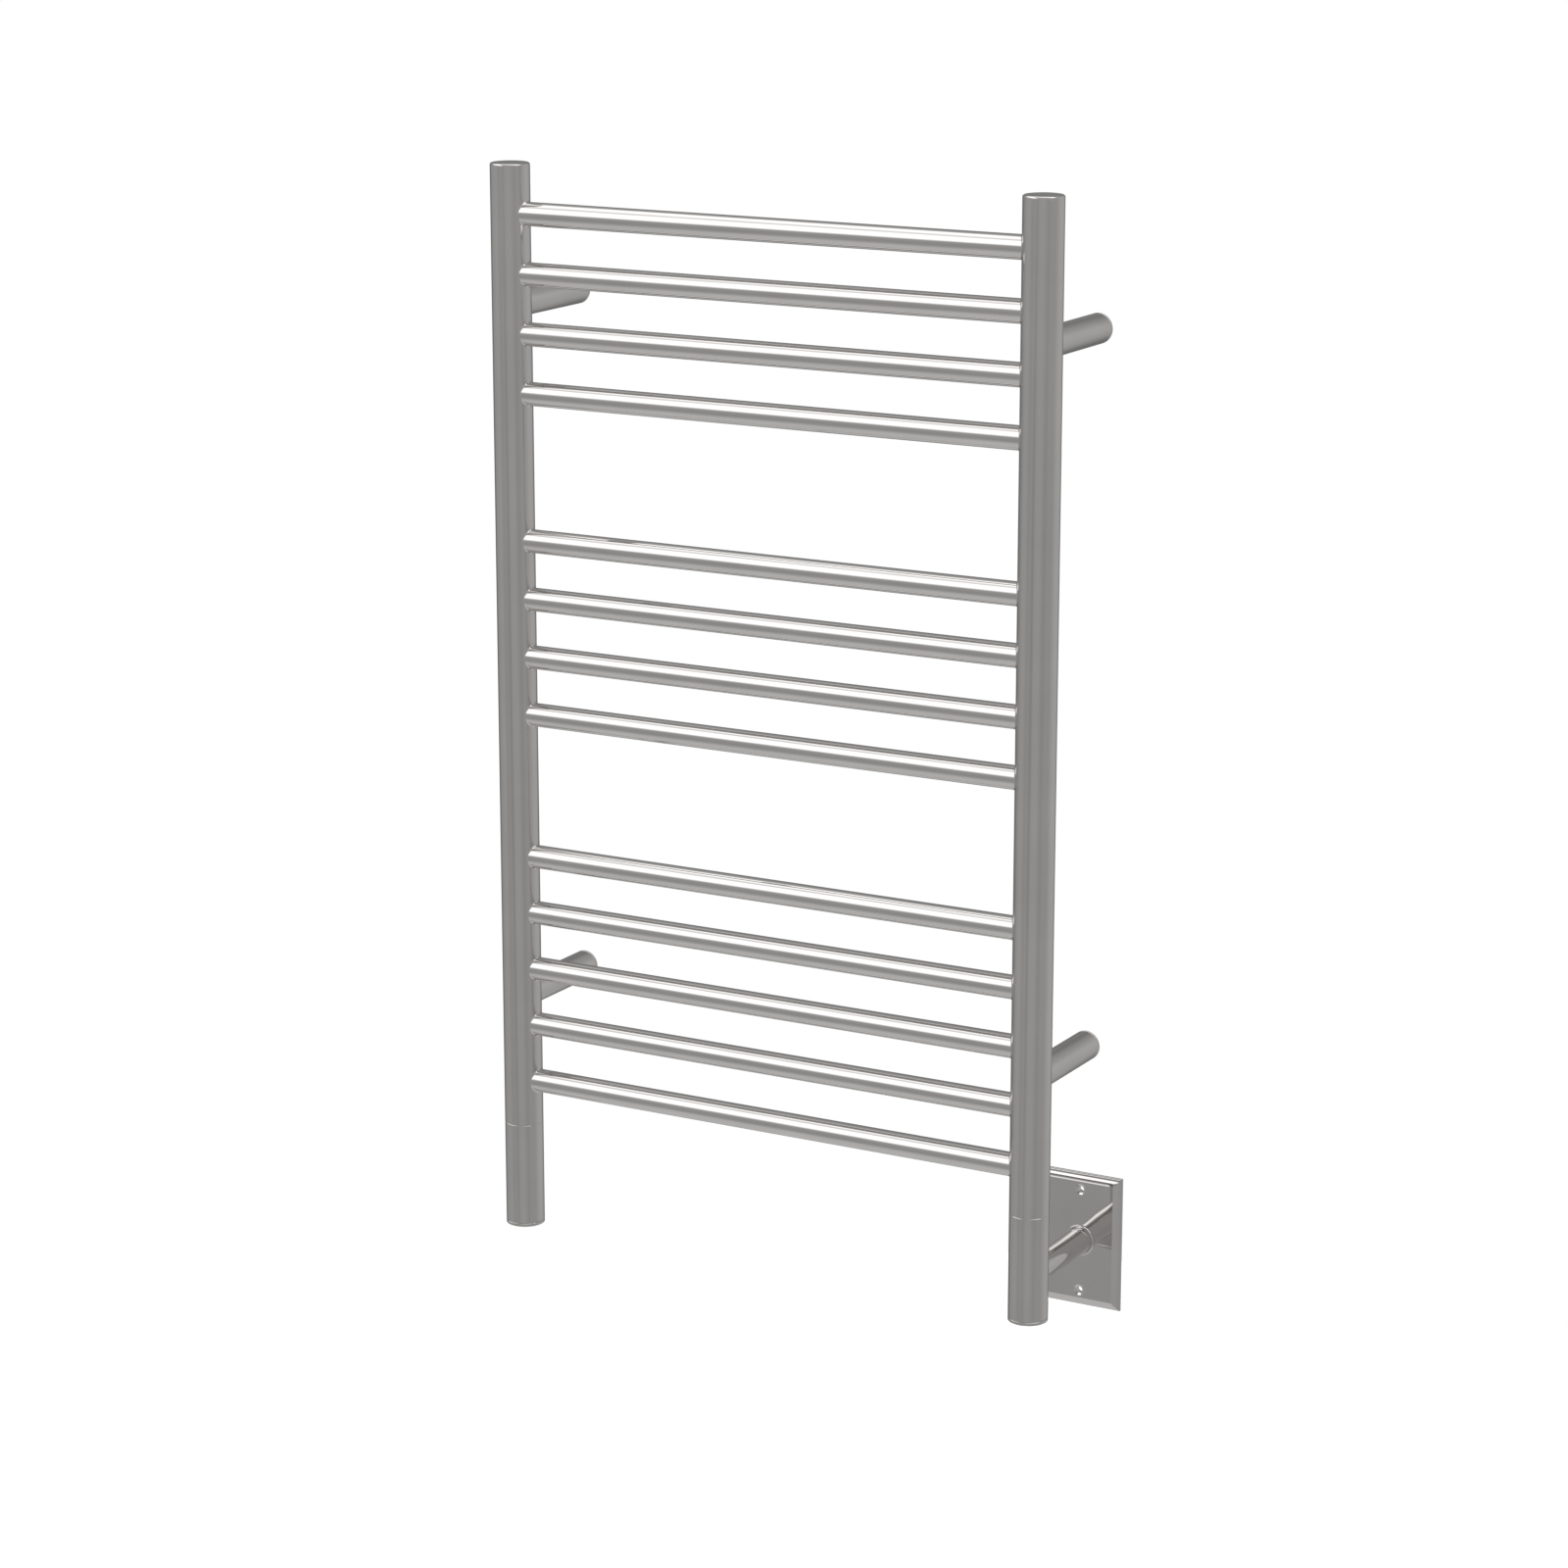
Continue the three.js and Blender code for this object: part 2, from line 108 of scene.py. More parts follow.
ANCHOR_SPIGOT = 8.7 * MM
ANCHOR_GROOVE_DEPTH = 1 * MM
ANCHOR_GROOVE_START = 7 * MM
ANCHOR_GROOVE_END = 13 * MM
ANCHOR_HOLE = 2.75 * MM
ANCHOR_SINK = 5.5 * MM
ANCHOR_HOLE_EASE = 0.2 * MM
ANCHOR_BACK_EASE = 0.3 * MM
ANCHOR_TIP_EASE = 0.6 * MM
POST_END_EDGE = 0.35 * MM
PLATE_SIDE_STEPS = 24
PLATE_RINGS = 14
PLATE_RING_SPREAD = 1.4
PLATE_RIM = 2.4 * MM
PLATE_BEVEL = 7 * MM
PLATE_CROWN = 0.35 * MM
PLATE_EASE = 0.25 * MM
PLATE_RIM_EASE = 0.15 * MM
PLATE_HOLE_CLEARANCE = 0.1 * MM
BEVEL_STEPS = 10
PLATE_SHARP_ANGLE = math.radians(14)
SWELL = 0.6 * MM
SWELL_WIDTH = 17 * MM
COLLAR_CLEARANCE = 0.05 * MM
COLLAR_BARREL = 1.15 * MM
COLLAR_SEAT = 6.45 * MM
COLLAR_EDGE = 1.2 * MM
COLLAR_INNER_EDGE = 0.05 * MM
COLLAR_FLANGE_EXTRA = 0.1 * MM
HOLE_OFFSETS = (-44.75 * MM, 44.75 * MM)
HOLE_RADIUS = 2.6 * MM
DISH_RADIUS = 4.7 * MM
DISH_DEPTH = 0.85 * MM
DISH_EASE = 0.15 * MM
DISH_SIDES = 64
CUT_PAST = 1 * MM
SUPPORT = 0.3 * MM


# ---------- reading the frame ----------

def middle(node):
    low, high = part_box(node)
    return (low + high) / 2


def span(node):
    low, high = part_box(node)
    return high - low


def body_of_node(node):
    bodies = frame["record"]["behaviour"]["bodies"]
    return next(body for body, members in bodies.items() if node in members)


def slot_of_node(node):
    subparts = frame["record"]["subparts"]
    return next(part["material_slot"] for part in subparts if part["node"] == node)


UPRIGHT_RADIUS = span("left_upright").x / 2
BAR_RADIUS = span("bar_01").z / 2
POST_RADIUS = span("left_upper_post").x / 2
ARM_RADIUS = span("power_arm").x / 2
BARS = sorted(node for node in frame["nodes"] if node.startswith("bar_"))
SIDES = ("left", "right")
ROWS = ("upper", "lower")


# ---------- materials ----------

NOISE_LOW = 0.3
NOISE_HIGH = 0.7
LINE_STRETCH = 60.0
LINE_SCALE = 30.0
CLOUD_SCALE = 18.0
SMEAR_SCALE = 160.0
DARKEST = 0.965
LIGHTEST = 1.02
POLISH_BUMP = 0.05
POLISH_DEPTH = 0.00002
GRAIN_BUMP = 0.2
GRAIN_DEPTH = 0.00005


def new_material(name):
    material = bpy.data.materials.new(name)
    material.use_nodes = True
    nodes = material.node_tree.nodes
    return material, nodes, material.node_tree.links, nodes["Principled BSDF"]


def noise(nodes, links, vector, scale, detail=3.0, roughness=0.5):
    texture = nodes.new("ShaderNodeTexNoise")
    texture.inputs["Scale"].default_value = scale
    texture.inputs["Detail"].default_value = detail
    texture.inputs["Roughness"].default_value = roughness
    links.new(vector, texture.inputs["Vector"])
    return texture.outputs["Fac"]


def between(nodes, links, value, low, high):
    """A noise value spread over low to high."""
    spread = nodes.new("ShaderNodeMapRange")
    spread.inputs["From Min"].default_value = NOISE_LOW
    spread.inputs["From Max"].default_value = NOISE_HIGH
    spread.inputs["To Min"].default_value = low
    spread.inputs["To Max"].default_value = high
    links.new(value, spread.inputs["Value"])
    return spread.outputs["Result"]


def polished_steel(name, colour, roughness, grain_axis, grain=1.0):
    """Mirror-polished stainless steel: faint polishing lines along one axis and a slight cloudiness."""
    material, nodes, links, shader = new_material(name)
    place = nodes.new("ShaderNodeTexCoord").outputs["Object"]

    stretch = nodes.new("ShaderNodeMapping")
    stretch.inputs["Scale"].default_value = [1.0 if axis == grain_axis else LINE_STRETCH for axis in range(3)]
    links.new(place, stretch.inputs["Vector"])
    lines = noise(nodes, links, stretch.outputs["Vector"], LINE_SCALE, detail=4.0)
    cloud = noise(nodes, links, place, CLOUD_SCALE, detail=4.0)
    smear = noise(nodes, links, place, SMEAR_SCALE, detail=2.0)

    tone = nodes.new("ShaderNodeMix")
    tone.data_type = "RGBA"
    tone.inputs["A"].default_value = (*[DARKEST * c for c in colour], 1)
    tone.inputs["B"].default_value = (*[LIGHTEST * c for c in colour], 1)
    links.new(between(nodes, links, cloud, 0.0, 1.0), tone.inputs["Factor"])
    links.new(tone.outputs["Result"], shader.inputs["Base Color"])

    mixed = nodes.new("ShaderNodeMath")
    mixed.operation = "ADD"
    links.new(between(nodes, links, lines, 0.6 * roughness, roughness), mixed.inputs[0])
    links.new(between(nodes, links, smear, 0.0, 0.35 * roughness), mixed.inputs[1])
    links.new(mixed.outputs["Value"], shader.inputs["Roughness"])

    bump = nodes.new("ShaderNodeBump")
    bump.inputs["Strength"].default_value = POLISH_BUMP * grain
    bump.inputs["Distance"].default_value = POLISH_DEPTH
    links.new(lines, bump.inputs["Height"])
    links.new(bump.outputs["Normal"], shader.inputs["Normal"])

    shader.inputs["Metallic"].default_value = 1.0
    return material


def plain(name, colour, roughness, metallic, grain_scale, contrast=0.12):
    """A satin or matt surface: soft mottling of its colour and roughness with a fine surface grain."""
    material, nodes, links, shader = new_material(name)
    place = nodes.new("ShaderNodeTexCoord").outputs["Object"]
    mottle = noise(nodes, links, place, grain_scale / 8, detail=4.0)
    fine = noise(nodes, links, place, grain_scale, detail=3.0)
    tone = nodes.new("ShaderNodeMix")
    tone.data_type = "RGBA"
    tone.inputs["A"].default_value = (*[(1 - contrast) * c for c in colour], 1)
    tone.inputs["B"].default_value = (*[(1 + contrast / 2) * c for c in colour], 1)
    links.new(between(nodes, links, mottle, 0.0, 1.0), tone.inputs["Factor"])
    links.new(tone.outputs["Result"], shader.inputs["Base Color"])
    links.new(between(nodes, links, fine, 0.85 * roughness, 1.1 * roughness), shader.inputs["Roughness"])
    bump = nodes.new("ShaderNodeBump")
    bump.inputs["Strength"].default_value = GRAIN_BUMP
    bump.inputs["Distance"].default_value = GRAIN_DEPTH
    links.new(fine, bump.inputs["Height"])
    links.new(bump.outputs["Normal"], shader.inputs["Normal"])
    shader.inputs["Metallic"].default_value = metallic
    return material


X_AXIS, Y_AXIS, Z_AXIS = range(3)
STEEL = (0.690, 0.673, 0.660)
MATERIALS = {
    "upright_steel": polished_steel("upright_steel", STEEL, 0.05, Z_AXIS),
    "bar_steel": polished_steel("bar_steel", STEEL, 0.045, X_AXIS),
    "post_steel": polished_steel("post_steel", STEEL, 0.05, Y_AXIS),
    "cap_steel": polished_steel("cap_steel", STEEL, 0.05, X_AXIS, grain=0.5),
    "plate_steel": polished_steel("plate_steel", STEEL, 0.03, Z_AXIS, grain=0.5),
    "plain_steel": plain("plain_steel", (0.36, 0.36, 0.37), 0.35, 1.0, 4000),
    "brass": plain("brass", (0.62, 0.46, 0.20), 0.3, 1.0, 4000),
    "cable_jacket": plain("cable_jacket", (0.36, 0.06, 0.04), 0.6, 0.0, 3000),
    "lead_sheath": plain("lead_sheath", (0.62, 0.62, 0.60), 0.55, 0.0, 3000),
    "black_rubber": plain("black_rubber", (0.02, 0.02, 0.022), 0.7, 0.0, 3000),
    "terminal_plastic": plain("terminal_plastic", (0.70, 0.67, 0.58), 0.5, 0.0, 3000),
    "earth_insulation": plain("earth_insulation", (0.07, 0.27, 0.06), 0.5, 0.0, 3000),
}


# ---------- mesh tools ----------

SHARP_ANGLE = math.radians(40)


def finish_piece(obj, node, sharp=SHARP_ANGLE):
    """Gives a piece its smooth shading, material and body, and lets it stand for its CAD node."""
    mesh = obj.data
    for polygon in mesh.polygons:
        polygon.use_smooth = True
    mesh.set_sharp_from_angle(angle=sharp)
    mesh.materials.clear()
    mesh.materials.append(MATERIALS[slot_of_node(node)])
    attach(obj, body_of_node(node))
    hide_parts(node)
    return obj


def new_object(name, points, faces):
    mesh = bpy.data.meshes.new(name)
    mesh.from_pydata([tuple(p) for p in points], [], faces)
    mesh.validate()
    mesh.update()
    obj = bpy.data.objects.new(name, mesh)
    bpy.context.scene.collection.objects.link(obj)
    return obj


def skin(name, rings, closed):
    """A surface over rings of equal length. closed joins the last ring to the first; otherwise the
    first and last rings are closed by fans to their middles."""
    count = len(rings[0])
    points = [point for ring in rings for point in ring]
    faces = []
    pairs = len(rings) if closed else len(rings) - 1
    for r in range(pairs):
        here, there = r * count, (r + 1) % len(rings) * count
        for k in range(count):
            after = (k + 1) % count
            faces.append((here + k, here + after, there + after, there + k))
    if not closed:
        for first, outward in ((0, False), ((len(rings) - 1) * count, True)):
            centre = len(points)
            ring = points[first:first + count]
            points.append(sum(ring, Vector()) / count)
            for k in range(count):
                edge = (first + k, first + (k + 1) % count)
                faces.append((*edge, centre) if outward else (*edge[::-1], centre))
    return new_object(name, points, faces)


def rounded_outline(corners):
    """A closed outline of [radius, height, fillet] corners, with an arc at each corner that has a fillet.
    Long straight runs get a point near each end, so that smooth shading keeps them straight."""
    outline = []
    count = len(corners)
    for i, (r, h, fillet) in enumerate(corners):
        here = Vector((r, h))
        before = (Vector(corners[i - 1][:2]) - here).normalized()
        after = (Vector(corners[(i + 1) % count][:2]) - here).normalized()
        if not fillet:
            outline.append(here)
            continue
        half_angle = before.angle(after) / 2
        setback = fillet / math.tan(half_angle)
        centre = here + (before + after).normalized() * fillet / math.sin(half_angle)
        start = here + before * setback - centre
        end = here + after * setback - centre
        sweep = start.angle(end)
        for k in range(ARC_STEPS + 1):
            t = k / ARC_STEPS
            weights = math.sin((1 - t) * sweep), math.sin(t * sweep)
            outline.append(centre + (start * weights[0] + end * weights[1]) / math.sin(sweep))
    supported = []
    for here, there in zip(outline, outline[1:] + outline[:1]):
        supported.append(here)
        run = there - here
        if run.length > 4 * SUPPORT:
            step = run.normalized() * SUPPORT
            supported += [here + step, there - step]
    return supported


def turned(name, origin, axis, corners, sides=TUBE_SIDES):
    """A body of revolution. axis is the direction of growing height; corners that touch the axis
    come first and last, and an outline that doesn't touch it closes on itself."""
    axis = Vector(axis)
    across = axis.orthogonal().normalized()
    up = axis.cross(across)
    outline = rounded_outline(corners)
    solid = corners[0][0] == 0
    if solid:
        outline = [point for point in outline if point[0] > 0]
    rings = []
    for r, h in outline:
        angles = [TAU * k / sides for k in range(sides)]
        rings.append([Vector(origin) + axis * h + (across * math.cos(a) + up * math.sin(a)) * r
                      for a in angles])
    return skin(name, rings, closed=not solid)


def seat_rings(radius, inner, fillet, seat_radius, away, seat, sides):
    """Rings of a tube's end on an upright: the bore, the root inside the upright's wall and the
    rolling-ball weld fillet, ending on the tube's own surface. away points from the upright."""
    away = Vector(away)
    up = Vector((0, 0, 1))
    side = up.cross(away)

    def ring_on_wall(tube_radius, wall_radius):
        ring = []
        for k in range(sides):
            a = TAU * k / sides
            lateral, height = tube_radius * math.cos(a), tube_radius * math.sin(a)
            axial = math.sqrt(wall_radius ** 2 - lateral ** 2)
            ring.append(seat + away * axial + side * lateral + up * height)
        return ring

    rings = [ring_on_wall(inner, seat_radius - SINK)]
    fillet_rings = [[] for _ in range(FILLET_STEPS + 1)]
    root = []
    for k in range(sides):
        a = TAU * k / sides
        lateral, height = (radius + fillet) * math.cos(a), (radius + fillet) * math.sin(a)
        axial = math.sqrt((seat_radius + fillet) ** 2 - lateral ** 2)
        flat = away * axial + side * lateral
        centre = seat + flat + up * height
        on_upright = seat + flat * seat_radius / (seat_radius + fillet) + up * height
        on_tube = seat + away * axial + side * radius * math.cos(a) + up * radius * math.sin(a)
        root.append(seat + flat * (seat_radius - SINK) / (seat_radius + fillet) + up * height)
        start, end = (on_upright - centre) / fillet, (on_tube - centre) / fillet
        sweep = start.angle(end)
        for step in range(FILLET_STEPS + 1):
            t = step / FILLET_STEPS
            turn = (start * math.sin((1 - t) * sweep) + end * math.sin(t * sweep)) / math.sin(sweep)
            fillet_rings[step].append(centre + turn * fillet)
    return rings + [root] + fillet_rings


def cut(obj, cutters):
    """Cuts tools out of a piece and removes the tools."""
    for tool in cutters:
        boolean = obj.modifiers.new("cut", "BOOLEAN")
        boolean.operation = "DIFFERENCE"
        boolean.solver = "EXACT"
        boolean.object = tool
        with bpy.context.temp_override(object=obj, active_object=obj):
            bpy.ops.object.modifier_apply(modifier=boolean.name)
        bpy.data.objects.remove(tool)
    return obj


# ---------- pieces ----------

def upright_tube(node, low_chamfer, high_chamfer, high_reach):
    """An upright or a lower sleeve: a vertical tube with eased ends, its seams drawn nearly closed."""
    low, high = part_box(node)
    base = Vector((middle(node).x, middle(node).y, low.z - SEAM_CLOSE))
    length = high.z - low.z + SEAM_CLOSE + high_reach
    outer = UPRIGHT_RADIUS
    inner = outer - UPRIGHT_WALL
    piece = turned(node + "_tube", base, (0, 0, 1), [
        (inner, 0, 0), (outer - low_chamfer, 0, 0), (outer, low_chamfer, low_chamfer / 2),
        (outer, length - high_chamfer, high_chamfer / 2), (outer - high_chamfer, length, 0),
        (inner, length, 0),
    ], UPRIGHT_SIDES)
    return finish_piece(piece, node)


def end_cap(node, outward, lip, edge, groove):
    """A flush end cap with a rounded lip; outward is +1 for a top cap and -1 for a bottom cap."""
    low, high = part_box(node)
    centre = middle(node)
    outer_z = high.z if outward > 0 else low.z
    spigot = UPRIGHT_RADIUS - CAP_SPIGOT_INSET
    depth = high.z - low.z
    origin = Vector((centre.x, centre.y, outer_z))
    piece = turned(node + "_lid", origin, (0, 0, outward), [
        (0, -depth, 0), (spigot, -depth, CAP_SPIGOT_EASE), (spigot, -lip, 0),
        (UPRIGHT_RADIUS - groove, -lip, 0), (UPRIGHT_RADIUS, -lip + groove, 0),
        (UPRIGHT_RADIUS, 0, edge), (0, 0, 0),
    ], UPRIGHT_SIDES)
    return finish_piece(piece, node)


def rung(node):
    """A rung between the two uprights, with a polished weld fillet at each end."""
    z = middle(node).z
    y = middle(node).y
    ends = []
    for side, away in (("left", (1, 0, 0)), ("right", (-1, 0, 0))):
        seat = Vector((middle(side + "_upright").x, y, z))
        ends.append(seat_rings(BAR_RADIUS, BAR_RADIUS - BAR_WALL, WELD_FILLET, UPRIGHT_RADIUS,
                               away, seat, TUBE_SIDES))
    left, right = ends
    count = TUBE_SIDES
    mirrored = [[ring[(count // 2 - k) % count] for k in range(count)] for ring in right]
    return finish_piece(skin(node + "_rung", left + mirrored[::-1], closed=True), node)


def wall_tube(node, radius, wall, fillet, end_edge):
    """A post or the power arm: seated on the back of an upright, with an eased end at the wall."""
    centre = middle(node)
    seat = Vector((centre.x, middle("left_upright").y, centre.z))
    rings = seat_rings(radius, radius - wall, fillet, UPRIGHT_RADIUS, (0, 1, 0), seat, TUBE_SIDES)
    end_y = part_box(node)[1].y
    inner = radius - wall
    eased = []
    for k in range(ARC_STEPS + 1):
        a = math.pi / 2 * k / ARC_STEPS
        eased.append((radius - end_edge * (1 - math.cos(a)), end_y - end_edge * (1 - math.sin(a))))
    up = Vector((0, 0, 1))
    side = up.cross(Vector((0, 1, 0)))
    for r, y in [*eased, (inner, end_y)]:
        ring = []
        for k in range(TUBE_SIDES):
            a = TAU * k / TUBE_SIDES
            ring.append(Vector((centre.x, y, centre.z)) + side * r * math.cos(a) + up * r * math.sin(a))
        rings.append(ring)
    return finish_piece(skin(node + "_tube", rings, closed=True), node)


def wall_anchor(node):
    """The disc at the wall with its spigot, locking groove and countersunk screw hole."""
    centre = middle(node)
    depth = span(node).y
    groove = ANCHOR_SPIGOT - ANCHOR_GROOVE_DEPTH
    piece = turned(node + "_disc", (centre.x, 0, centre.z), (0, -1, 0), [
        (ANCHOR_HOLE, 0, ANCHOR_HOLE_EASE), (POST_RADIUS, 0, ANCHOR_BACK_EASE),
        (POST_RADIUS, ANCHOR_DISC, ANCHOR_EDGE), (ANCHOR_SPIGOT, ANCHOR_DISC, 0),
        (ANCHOR_SPIGOT, ANCHOR_GROOVE_START, 0), (groove, ANCHOR_GROOVE_START, 0),
        (groove, ANCHOR_GROOVE_END, 0), (ANCHOR_SPIGOT, ANCHOR_GROOVE_END, 0),
        (ANCHOR_SPIGOT, depth, ANCHOR_TIP_EASE), (ANCHOR_SINK, depth, 0),
        (ANCHOR_HOLE, depth + ANCHOR_HOLE - ANCHOR_SINK, 0),
    ])
    return finish_piece(piece, node)


def plate_face_grid(centre, half_w, half_h, hole, face_y):
    """Rings of the plate's face from its hole to its rectangular crease, with a low swell at the hole."""
    columns = [k / PLATE_SIDE_STEPS * 2 - 1 for k in range(PLATE_SIDE_STEPS)]
    outline = ([(t * half_w, -half_h) for t in columns] + [(half_w, t * half_h) for t in columns]
               + [(-t * half_w, half_h) for t in columns] + [(-half_w, -t * half_h) for t in columns])
    rings = []
    for step in range(PLATE_RINGS + 1):
        t = step / PLATE_RINGS
        ring = []
        for x, z in outline:
            reach = math.hypot(x, z)
            r = hole + (reach - hole) * t ** PLATE_RING_SPREAD
            swell = max(0.0, 1 - (r - hole) / SWELL_WIDTH)
            y = face_y - SWELL * swell ** 2
            ring.append(Vector((centre.x + x * r / reach, y, centre.z + z * r / reach)))
        rings.append(ring)
    return rings


def wall_plate(node):
    """The bevelled plate: a low rim, a gently crowned bevel, a face with a low swell, and three holes."""
    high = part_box(node)[1]
    centre = middle(node)
    arm = middle("power_arm")
    half_w, half_h = span(node).x / 2, span(node).z / 2
    depth = span(node).y
    hole = ARM_RADIUS + COLLAR_BARREL + PLATE_HOLE_CLEARANCE
    rim, bevel, ease = PLATE_RIM, PLATE_BEVEL, PLATE_EASE
    face_w, face_h = half_w - bevel - ease, half_h - bevel - ease
    rings = plate_face_grid(centre, face_w, face_h, hole, high.y - depth)

    sections = [(bevel, depth)]
    for k in range(BEVEL_STEPS - 1, 0, -1):
        t = k / BEVEL_STEPS
        sections.append((bevel * t, rim + (depth - rim) * t + PLATE_CROWN * math.sin(math.pi * t)))
    sections += [(PLATE_RIM_EASE, rim), (0.0, rim - ease), (0.0, 2 * ease), (0.0, ease), (ease, 0.0)]
    edge = rings[-1]
    for inset, forward in sections:
        ring = []
        for point in edge:
            x = (point.x - centre.x) / face_w * (half_w - inset)
            z = (point.z - centre.z) / face_h * (half_h - inset)
            ring.append(Vector((centre.x + x, high.y - forward, centre.z + z)))
        rings.append(ring)
    back = []
    for point in edge:
        out = Vector((point.x - centre.x, 0, point.z - centre.z)).normalized() * hole
        back.append(Vector((centre.x + out.x, high.y, centre.z + out.z)))
    rings.append(back)
    plate = skin(node + "_plate", rings, closed=True)
    tools = [screw_dish(Vector((arm.x, high.y, arm.z + offset)), depth) for offset in HOLE_OFFSETS]
    cut(plate, tools)
    return finish_piece(plate, node, sharp=PLATE_SHARP_ANGLE)


def screw_dish(place, depth):
    """The tool that cuts one screw hole with its shallow dished rim."""
    top = depth + CUT_PAST
    profile = [(0, -CUT_PAST, 0), (HOLE_RADIUS, -CUT_PAST, 0),
               (HOLE_RADIUS, depth - DISH_DEPTH, DISH_EASE),
               (DISH_RADIUS, depth, 0), (DISH_RADIUS, top, 0), (0, top, 0)]
    return turned("screw_dish", place, (0, -1, 0), profile, DISH_SIDES)


def plate_collar(node):
    """The bright half-round ring that guides the plate along the arm."""
    centre = middle(node)
    low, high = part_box(node)
    bore = ARM_RADIUS + COLLAR_CLEARANCE
    barrel = ARM_RADIUS + COLLAR_BARREL
    flange = span(node).x / 2 + COLLAR_FLANGE_EXTRA
    front, back, seat = -low.y, -high.y, COLLAR_SEAT
    piece = turned(node + "_ring", (centre.x, 0, centre.z), (0, -1, 0), [
        (bore, back, 0), (barrel, back, 0), (barrel, seat, 0),
        (flange, seat, 0), (flange, front, COLLAR_EDGE), (bore, front, COLLAR_INNER_EDGE),
    ])
    return finish_piece(piece, node)


for side in SIDES:
    upright_tube(side + "_upright", SEAM_EASE, HAIRLINE, high_reach=CAP_CLOSE)
    upright_tube(side + "_lower_sleeve", CAP_GROOVE, SEAM_CHAMFER, high_reach=SEAM_CLOSE)
    end_cap(side + "_top_cap", 1, TOP_LIP, CAP_EDGE, HAIRLINE)
    end_cap(side + "_bottom_cap", -1, BOTTOM_LIP, LIP_EDGE, CAP_GROOVE)
    for row in ROWS:
        wall_tube(f"{side}_{row}_post", POST_RADIUS, POST_WALL, WELD_FILLET, POST_END_EDGE)
        wall_anchor(f"{side}_{row}_anchor")
for bar in BARS:
    rung(bar)
wall_tube("power_arm", ARM_RADIUS, ARM_WALL, ARM_WELD_FILLET, POST_END_EDGE)
wall_plate("wall_plate")
plate_collar("plate_collar")

# ---------- carried-over CAD nodes ----------

for node, obj in frame["nodes"].items():
    if not obj.hide_render:
        obj.data.materials.clear()
        obj.data.materials.append(MATERIALS[slot_of_node(node)])


# ---------- studio ----------

def add_floor():
    """A plain pale disc below the rack, lit a little from within, that the steel doesn't reflect."""
    z = cad_low.z - FLOOR_DROP
    angles = [TAU * k / FLOOR_SIDES for k in range(FLOOR_SIDES)]
    ring = [Vector((FLOOR_RADIUS * math.cos(a), FLOOR_RADIUS * math.sin(a), z)) for a in angles]
    floor = new_object("floor", ring, [tuple(range(FLOOR_SIDES))])
    material, nodes, links, shader = new_material("floor")
    shader.inputs["Base Color"].default_value = FLOOR_TONE
    shader.inputs["Roughness"].default_value = 1.0
    shader.inputs["Specular IOR Level"].default_value = 0.0
    shader.inputs["Emission Color"].default_value = WHITE
    shader.inputs["Emission Strength"].default_value = FLOOR_GLOW
    floor.data.materials.append(material)
    floor.visible_glossy = False


def toward(heading, height):
    """A direction from a heading in degrees, 0 along +X and 90 into the wall, and a height in degrees."""
    a, h = math.radians(heading), math.radians(height)
    return (math.cos(h) * math.cos(a), math.cos(h) * math.sin(a), math.sin(h))


class Sky:
    """The node tree that works out how bright the studio is in a direction."""

    def __init__(self, world):
        self.nodes, self.links = world.node_tree.nodes, world.node_tree.links
        self.nodes.clear()
        self.direction = self.nodes.new("ShaderNodeTexCoord").outputs["Generated"]
        split = self.nodes.new("ShaderNodeSeparateXYZ")
        self.links.new(self.direction, split.inputs["Vector"])
        self.x, self.y, self.z = split.outputs

    def put(self, value, socket):
        if isinstance(value, (int, float)):
            socket.default_value = value
        else:
            self.links.new(value, socket)

    def math(self, operation, *values):
        node = self.nodes.new("ShaderNodeMath")
        node.operation = operation
        for value, socket in zip(values, node.inputs):
            self.put(value, socket)
        return node.outputs["Value"]

    def curve(self, value, first, last, points):
        """A smooth curve of brightness over value, from pairs of (value, brightness up to 1)."""
        spread = self.nodes.new("ShaderNodeMapRange")
        spread.inputs["From Min"].default_value = first
        spread.inputs["From Max"].default_value = last
        self.put(value, spread.inputs["Value"])
        ramp = self.nodes.new("ShaderNodeValToRGB")
        stops = ramp.color_ramp.elements
        while len(stops) < len(points):
            stops.new(0.5)
        for stop, (at, level) in zip(stops, points):
            stop.position = (at - first) / (last - first)
            stop.color = (level, level, level, 1)
        self.links.new(spread.outputs["Result"], ramp.inputs["Fac"])
        return ramp.outputs["Color"]

    def fade(self, value, start, full, amount=1.0):
        step = self.nodes.new("ShaderNodeMapRange")
        step.interpolation_type = "SMOOTHSTEP"
        step.inputs["From Min"].default_value = start
        step.inputs["From Max"].default_value = full
        step.inputs["To Max"].default_value = amount
        self.put(value, step.inputs["Value"])
        return step.outputs["Result"]

    def spot(self, heading, height, full, none, amount):
        """A round patch that adds an amount within full degrees of its centre and fades to nothing."""
        dot = self.nodes.new("ShaderNodeVectorMath")
        dot.operation = "DOT_PRODUCT"
        dot.inputs[1].default_value = toward(heading, height)
        self.links.new(self.direction, dot.inputs[0])
        angle = self.math("ARCCOSINE", dot.outputs["Value"])
        return self.fade(angle, math.radians(none), math.radians(full), amount)


